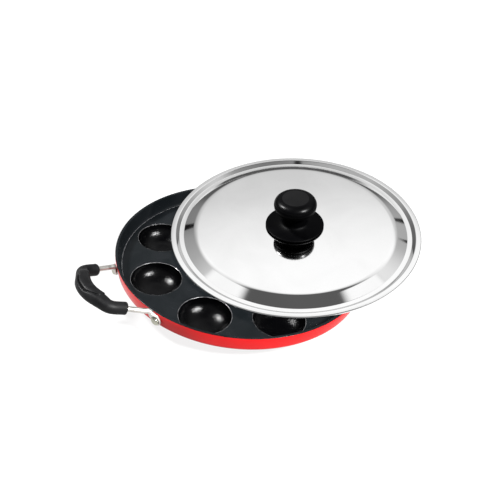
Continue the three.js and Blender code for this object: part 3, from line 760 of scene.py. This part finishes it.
wire_points = wire_surface()
wire_faces = ring_quads(*wire_points.shape[:2]).tolist()
for half_turns, hand in enumerate(HANDS):
    make_piece(f"{hand}_wire", turned_about(wire_points, half_turns), wire_faces, [bright_wire], "pan",
               [f"{hand}_handle_wire"])

# %% [markdown]
# ## Grips
# The grip is moulded round the wire: round legs that flatten into a broad bar. On the bar lies a raised
# leaf for the fingers. Its outer edge is a groove that opens into a deep slit, and its near end stops in a
# small step. It is the same curve with an oval section, and leaf, groove and step are pushed into the grid
# by angle and distance.

# %% Mould the grips
GRIP_LEG = 5.2
GRIP_BAR = (7.75, 6.0)
BAR_HALF = 15
GRIP_SPAN = (3.0, 7.0)
END_SPAN = 0.08
END_ROUND = 1.5
SQUARENESS = 0.35
# Bell curves over the distance from the bar's middle: height, middle, width
CORNER_DRAW = (2.8, 18, 7)
BAR_BOW = (0.8, 0, 8)
CORNER_SLIM = (0.22, 17, 6)
BAR_SLIM = 0.42
SECTION_RADIUS = 6.8
LEAF_RISE = 0.9
LEAF_RAMP = 0.9
LEAF_EDGE = ([-15.5, -4.0, 6.0, 16.5], [34.0, 28.0, 26.0, 54.0])
LEAF_TAIL = (-22, -17)
LEAF_STEP = (15.6, 16.6)
LEAF_BACK = (190, 230)
GROOVE_DEPTH = 0.5
GROOVE_WIDTH = 0.8
GROOVE_START = (-17, -12)
GROOVE_END = (13.5, 16.6)
SLIT_DEPTH = 1.6
SLIT_END = (2, 9)


def grip_leaf(along, angle):
    """Height of leaf and groove at a place along the bar and an angle from outwards: the leaf is a step
    at its edge angle, and the groove a bell curve over the distance from that edge."""
    off = np.radians(angle - np.interp(along, *LEAF_EDGE)[:, None]) * SECTION_RADIUS
    length = smoothstep(along, *LEAF_TAIL) * (1 - smoothstep(along, *LEAF_STEP))
    leaf = LEAF_RISE * smoothstep(off, 0, LEAF_RAMP) * (1 - smoothstep(angle, *LEAF_BACK)) * length[:, None]
    depth = GROOVE_DEPTH + SLIT_DEPTH * (1 - smoothstep(along, *SLIT_END))
    groove = depth * smoothstep(along, *GROOVE_START) * (1 - smoothstep(along, *GROOVE_END))
    return leaf - groove[:, None] * bell(off, 0, GROOVE_WIDTH)


def grip_surface(stations=241, sides=160):
    """Oval sections round the wire, slimmer inside and drawn in at the corners, with the leaf on top."""
    start, stop = GRIP_SPAN
    run = END_SPAN * (1 - np.cos(np.linspace(0, np.pi / 2, 9)))
    bar = np.linspace(start + END_SPAN, stop - END_SPAN, stations)
    places = np.concatenate([start + run[:-1], bar, stop - run[-2::-1]])
    path = handle_curve(places)
    from_end = np.minimum(places - start, stop - places) / END_SPAN
    rounding = np.sin(np.arccos(np.clip(1 - from_end, 0, 1)))
    aside = np.abs(path[:, 1])
    share = 1 - smoothstep(aside, BAR_HALF, -GRIP_START[1])
    wide, high = (GRIP_LEG + (half - GRIP_LEG) * share - END_ROUND * (1 - rounding) for half in GRIP_BAR)
    ahead = unit(np.gradient(path, places, axis=0))
    plane = unit(np.array([GRIP_START[2] - GRIP_MIDDLE[2], 0, GRIP_MIDDLE[0] - GRIP_START[0]]))
    outward = unit(np.cross(ahead, plane))
    above = np.cross(outward, ahead)
    drawn_in = CORNER_DRAW[0] * bell(aside, *CORNER_DRAW[1:]) - BAR_BOW[0] * bell(aside, *BAR_BOW[1:])
    path = path - drawn_in[:, None] * outward
    skin, x, z = swept(path, outward, above, wide, high, 2 + SQUARENESS * share, sides)
    inner = BAR_SLIM * share + CORNER_SLIM[0] * bell(np.abs(path[:, 1]), *CORNER_SLIM[1:])
    slimmer = np.where(x < 0, -inner[:, None] * x, 0)
    skin = skin + slimmer[..., None] * outward[:, None]
    reach = np.cumsum(np.linalg.norm(np.diff(path, axis=0, prepend=path[:1]), axis=-1))
    angle = (np.degrees(np.arctan2(z, x)) + 100) % 360 - 100
    rise = grip_leaf(reach - reach[-1] / 2, angle)
    skin = skin + rise[..., None] * unit(x[..., None] * outward[:, None] + z[..., None] * above[:, None])
    cap = [skin[:1].mean(axis=1, keepdims=True), skin[-1:].mean(axis=1, keepdims=True)]
    return np.concatenate([np.repeat(cap[0], sides, axis=1), skin, np.repeat(cap[1], sides, axis=1)])


grip_points = grip_surface()
grip_faces = ring_quads(*grip_points.shape[:2]).tolist()
for half_turns, hand in enumerate(HANDS):
    make_piece(f"{hand}_grip", turned_about(grip_points, half_turns), grip_faces, [moulded_black], "pan",
               [f"{hand}_handle_grip"])

# %% [markdown]
# ## Rivets
# A rivet is turned: a domed head outside, a shank through lug and wall, and a flat tail inside. The head of
# a set rivet has a shallow dimple in the middle, which catches its own highlight. The pan is coated after
# riveting, so the tail is as black as the wall round it.

# %% Set the rivets
RIVET_SIDES = 48
SHANK = 2.2
HEAD = (4.0, 2.0)
HEAD_SEAT = 3.0
TAIL = 3.6
TAIL_SEAT = -2.8
TAIL_END = -4.0
TAIL_ROUND = 0.3

rivet_tail = np.concatenate([
    line((0, TAIL_END), (TAIL - TAIL_ROUND, TAIL_END), 2),
    arc((TAIL - TAIL_ROUND, TAIL_END + TAIL_ROUND), TAIL_ROUND, -90, 0, 3)[1:],
])
rivet_profile = np.concatenate([
    rivet_tail,
    line((TAIL, TAIL_SEAT), (SHANK, TAIL_SEAT), 1),
    line((SHANK, HEAD_SEAT), (3.9, HEAD_SEAT), 1),
    arc((0, HEAD_SEAT), HEAD, 6, 72, 14),
    line((0.9, 4.78), (0, 4.7), 2),
])
rivet_points = turned(rivet_profile, RIVET_SIDES)
rivet_faces = ring_quads(*rivet_points.shape[:2]).tolist()
coated = np.repeat(np.arange(len(rivet_profile) - 1) < len(rivet_tail), RIVET_SIDES).astype(np.int32)
for half_turns, hand in enumerate(HANDS):
    for number, side in enumerate((-1, 1), start=1):
        place, axes = rivet_frame(side)
        seated = turned_about(place + rivet_points @ axes, half_turns)
        make_piece(f"{hand}_rivet_{number}", seated, rivet_faces, [rivet_metal, nonstick], "pan",
                   [f"{hand}_handle_rivet_{number}"], coated)

# %% [markdown]
# ## The spun lid
# The lid is thin steel spun on a chuck: a flat disc, a cone, a narrow gutter that drops inside the rim, and
# a sloping wall that ends in a flat hem, folded under at its edge. It leans, so its own axis is measured
# from the solid: the direction in which the lid's points spread least. The sheet's middle line is rounded
# at each bend and thickened to both sides.

# %% Measure the lid's axis
DISC_HEIGHT = 2.0
LID_HALF_SHEET = 0.4
DISC_TOP = DISC_HEIGHT + LID_HALF_SHEET

lid_mesh = frame["nodes"]["lid_cover"].data
lid_spots = np.empty(len(lid_mesh.vertices) * 3)
lid_mesh.vertices.foreach_get("co", lid_spots)
lid_spots = lid_spots.reshape(-1, 3) / MM
lid_middle = lid_spots.mean(axis=0)
lid_axis = np.linalg.svd(lid_spots - lid_middle, full_matrices=False)[2][2]
lid_axis = lid_axis * np.sign(lid_axis[2])
lid_side = unit(np.cross([0, 1, 0], lid_axis))
LID_AXES = np.stack([lid_side, np.cross(lid_axis, lid_side), lid_axis])
LID_ORIGIN = lid_middle + (((lid_spots - lid_middle) @ lid_axis).max() - DISC_TOP) * lid_axis
lid_lean = math.degrees(math.acos(lid_axis[2]))
print("lid leans", round(lid_lean, 2), "degrees, hem centre", LID_ORIGIN.round(2))

# %% Spin the lid
LID_SIDES = 288
LID_HOLE = 2.8
GUTTER_LEVEL = -2.4


def bend(before, corner, after, radius, steps):
    """Arc that rounds a corner: it runs from tangent point to tangent point about the bend's centre."""
    before, corner, after = (np.asarray(p, dtype=float) for p in (before, corner, after))
    one = unit(before - corner)
    two = unit(after - corner)
    half = math.acos(float(one @ two)) / 2
    centre = corner + unit(one + two) * radius / math.sin(half)
    reach = radius / math.tan(half)
    first = corner + one * reach - centre
    last = corner + two * reach - centre
    whole = math.pi - 2 * half
    share = np.linspace(0, 1, steps + 1)[:, None]
    return centre + (np.sin((1 - share) * whole) * first + np.sin(share * whole) * last) / math.sin(whole)


def thickened(path, half):
    """Closed outline round a path: the path moved by its normal to one side, and back on the other."""
    ahead = unit(np.gradient(path, axis=0))
    normal = np.stack([-ahead[:, 1], ahead[:, 0]], axis=-1)
    return np.concatenate([path + half * normal, (path - half * normal)[::-1]])


hole_edge = (LID_HOLE, DISC_HEIGHT)
disc_edge = (95.3, DISC_HEIGHT)
cone_foot = (107.1, GUTTER_LEVEL)
gutter_end = (111.6, GUTTER_LEVEL)
shoulder = (114.8, 0.5)
fold = arc((118.8, 0), 0.5, 90, -90, 14)
lid_path = np.concatenate([
    line(hole_edge, (90, DISC_HEIGHT), 12),
    bend(hole_edge, disc_edge, cone_foot, 14, 16),
    bend(disc_edge, cone_foot, gutter_end, 1.6, 8),
    bend(cone_foot, gutter_end, shoulder, 1.2, 8),
    bend(gutter_end, shoulder, fold[0], 0.8, 8),
    fold,
    line(fold[-1], (116.6, -0.5), 3)[1:],
])
lid_points = LID_ORIGIN + turned(thickened(lid_path, LID_HALF_SHEET), LID_SIDES) @ LID_AXES
lid_faces = ring_quads(*lid_points.shape[:2], loop=True).tolist()
make_piece("spun_lid", lid_points, lid_faces, [lid_steel], "lid", ["lid_cover"])

# %% [markdown]
# ## Knob and its fasteners
# The knob is one turned moulding: a thin flange that sweeps up into a neck, and a rounded cap with a small
# step under it. Flange, neck and step, and the cap's side, are darker copies of the crown's finish, a
# painted shade; the flange is dull and the cap's side glossier. Below the disc sit a washer and the head of
# the screw that holds the knob, with a cross recess pressed into the head.

# %% Turn the knob
KNOB_SIDES = 144
KNOB_HEIGHT = 32
CAP_HEIGHT = 13
STEP_HEIGHT = 2.8
CROWN_HEIGHT = 0.6
CROWN_RADIUS = 12.5
NECK = 12
FLANGE_FLAT = 27
FLANGE_ROUND = 1
FLANGE_HEIGHT = 6
BORE = 4.3
BORE_DEPTH = 12.3
FIT_GAP = 0.3
SEAT = DISC_TOP + FIT_GAP
FLANGE_TOP = SEAT + 2 * FLANGE_ROUND
KNOB_TOP = SEAT + KNOB_HEIGHT
CROWN, FLANGE, CAP = range(3)

cap_foot = KNOB_TOP - CAP_HEIGHT
dome_foot = cap_foot + STEP_HEIGHT
crown_foot = KNOB_TOP - CROWN_HEIGHT
bulge = 0.56 * dome_foot + 0.44 * crown_foot
knob_profile = np.concatenate([
    line((0, SEAT + BORE_DEPTH), (BORE, SEAT + BORE_DEPTH), 1),
    line((BORE, SEAT), (FLANGE_FLAT, SEAT), 1),
    arc((FLANGE_FLAT, SEAT + FLANGE_ROUND), FLANGE_ROUND, -90, 90, 8)[1:],
    curve([(FLANGE_FLAT, FLANGE_TOP), (NECK, FLANGE_TOP), (NECK, SEAT + FLANGE_HEIGHT)], 14)[1:],
    curve([(NECK, cap_foot - 1.6), (NECK, cap_foot - 0.4), (14, cap_foot), (18.5, cap_foot)], 6),
    curve([(18.5, cap_foot), (19.1, cap_foot), (19.1, cap_foot + 0.6)], 4)[1:],
    line((19.1, cap_foot + 1.9), (19.2, cap_foot + 2.3), 1),
    curve([(19.75, cap_foot + 2.45), (19.9, cap_foot + 2.5), (19.95, dome_foot + 0.1)], 3),
    curve([(19.9, dome_foot + 0.2), (21.02, bulge), (19.1, crown_foot - 0.6),
           (CROWN_RADIUS, crown_foot)], 24)[1:],
    curve([(CROWN_RADIUS, crown_foot), (8.5, crown_foot + 0.5), (4, KNOB_TOP), (0, KNOB_TOP)], 8)[1:],
])
knob_points = LID_ORIGIN + turned(knob_profile, KNOB_SIDES) @ LID_AXES
knob_faces = ring_quads(*knob_points.shape[:2]).tolist()
row_height = knob_profile[:-1, 1]
row_finish = np.where(row_height < crown_foot - 0.05, CAP, CROWN)
row_finish = np.where(row_height < dome_foot + 0.3, FLANGE, row_finish)
make_piece("turned_knob", knob_points, knob_faces, [knob_black, shaded_flange_black, shaded_cap_black], "lid",
           ["lid_knob"], np.repeat(row_finish, KNOB_SIDES).astype(np.int32))

# %% Make the washer and the screw
WASHER_SIDES = 64
SCREW_SIDES = 128
WASHER_TOP = DISC_HEIGHT - LID_HALF_SHEET - FIT_GAP
WASHER_THICKNESS = 1.0
WASHER_FLAT = 7.3
WASHER_ROUND = 0.2
SCREW_HEAD = 4.75
SCREW_HEAD_HEIGHT = 2.6
SCREW_SHANK = 2.5
SCREW_GRIP = 10
RECESS_DEPTH = 1.3
SLOT_EDGE = (0.35, 0.62)
SLOT_END = (2.1, 2.5)

washer_profile = np.concatenate([
    arc((WASHER_FLAT, WASHER_TOP - WASHER_THICKNESS + WASHER_ROUND), WASHER_ROUND, -90, 0, 3),
    arc((WASHER_FLAT, WASHER_TOP - WASHER_ROUND), WASHER_ROUND, 0, 90, 3),
    line((LID_HOLE, WASHER_TOP), (LID_HOLE, WASHER_TOP - WASHER_THICKNESS), 1),
])
washer_points = LID_ORIGIN + turned(washer_profile, WASHER_SIDES) @ LID_AXES
washer_faces = ring_quads(*washer_points.shape[:2], loop=True).tolist()
make_piece("washer", washer_points, washer_faces, [zinc_steel], "lid", ["knob_washer"])


def screw_surface():
    """Turned screw with a cross recess: its face is raised where |x| or |y| is under half a slot."""
    seat = WASHER_TOP - WASHER_THICKNESS - FIT_GAP
    face = seat - SCREW_HEAD_HEIGHT
    tip = SEAT + SCREW_GRIP
    profile = np.concatenate([
        line((0, face), (3.0, face), 15),
        curve([(3.0, face), (SCREW_HEAD, face + 0.1), (SCREW_HEAD, face + 1.4)], 10)[1:],
        line((SCREW_HEAD, seat), (SCREW_SHANK, seat), 1),
        line((SCREW_SHANK, tip), (0, tip), 1),
    ])
    points = turned(profile, SCREW_SIDES)
    x, y = np.abs(points[..., 0]), np.abs(points[..., 1])
    slot = 1 - smoothstep(np.minimum(x, y), *SLOT_EDGE)
    reach = 1 - smoothstep(np.maximum(x, y), *SLOT_END)
    points[..., 2] += np.where(points[..., 2] < face + 0.05, RECESS_DEPTH * slot * reach, 0)
    return LID_ORIGIN + points @ LID_AXES


screw_points = screw_surface()
screw_faces = ring_quads(*screw_points.shape[:2]).tolist()
make_piece("screw", screw_points, screw_faces, [zinc_steel], "lid", ["knob_screw"])
insert_mesh = frame["nodes"]["knob_insert"].data
insert_mesh.materials.clear()
insert_mesh.materials.append(insert_brass)
print("insert keeps its solid,", len(insert_mesh.polygons), "faces")

# %% [markdown]
# ## Keep the lamps off the mirror
# The lid is so bright that a small hot lamp would leave jagged sparks along its hem. Its mirror shows the
# soft boxes of the room instead, and light linking lets the two lamps shine on everything else. The
# photograph shows their highlights in the cup under the lid's edge too, so the lid throws no shadow of them
# either.

# %% Link the lamps
lit = bpy.data.collections.new("lit_by_lamps")
for piece in [table_top, *PIECES]:
    if piece.name != "spun_lid":
        lit.objects.link(piece)
for side in LAMPS:
    lamp_links = bpy.data.objects[f"lamp_{side}"].light_linking
    lamp_links.receiver_collection = lit
    lamp_links.blocker_collection = lit
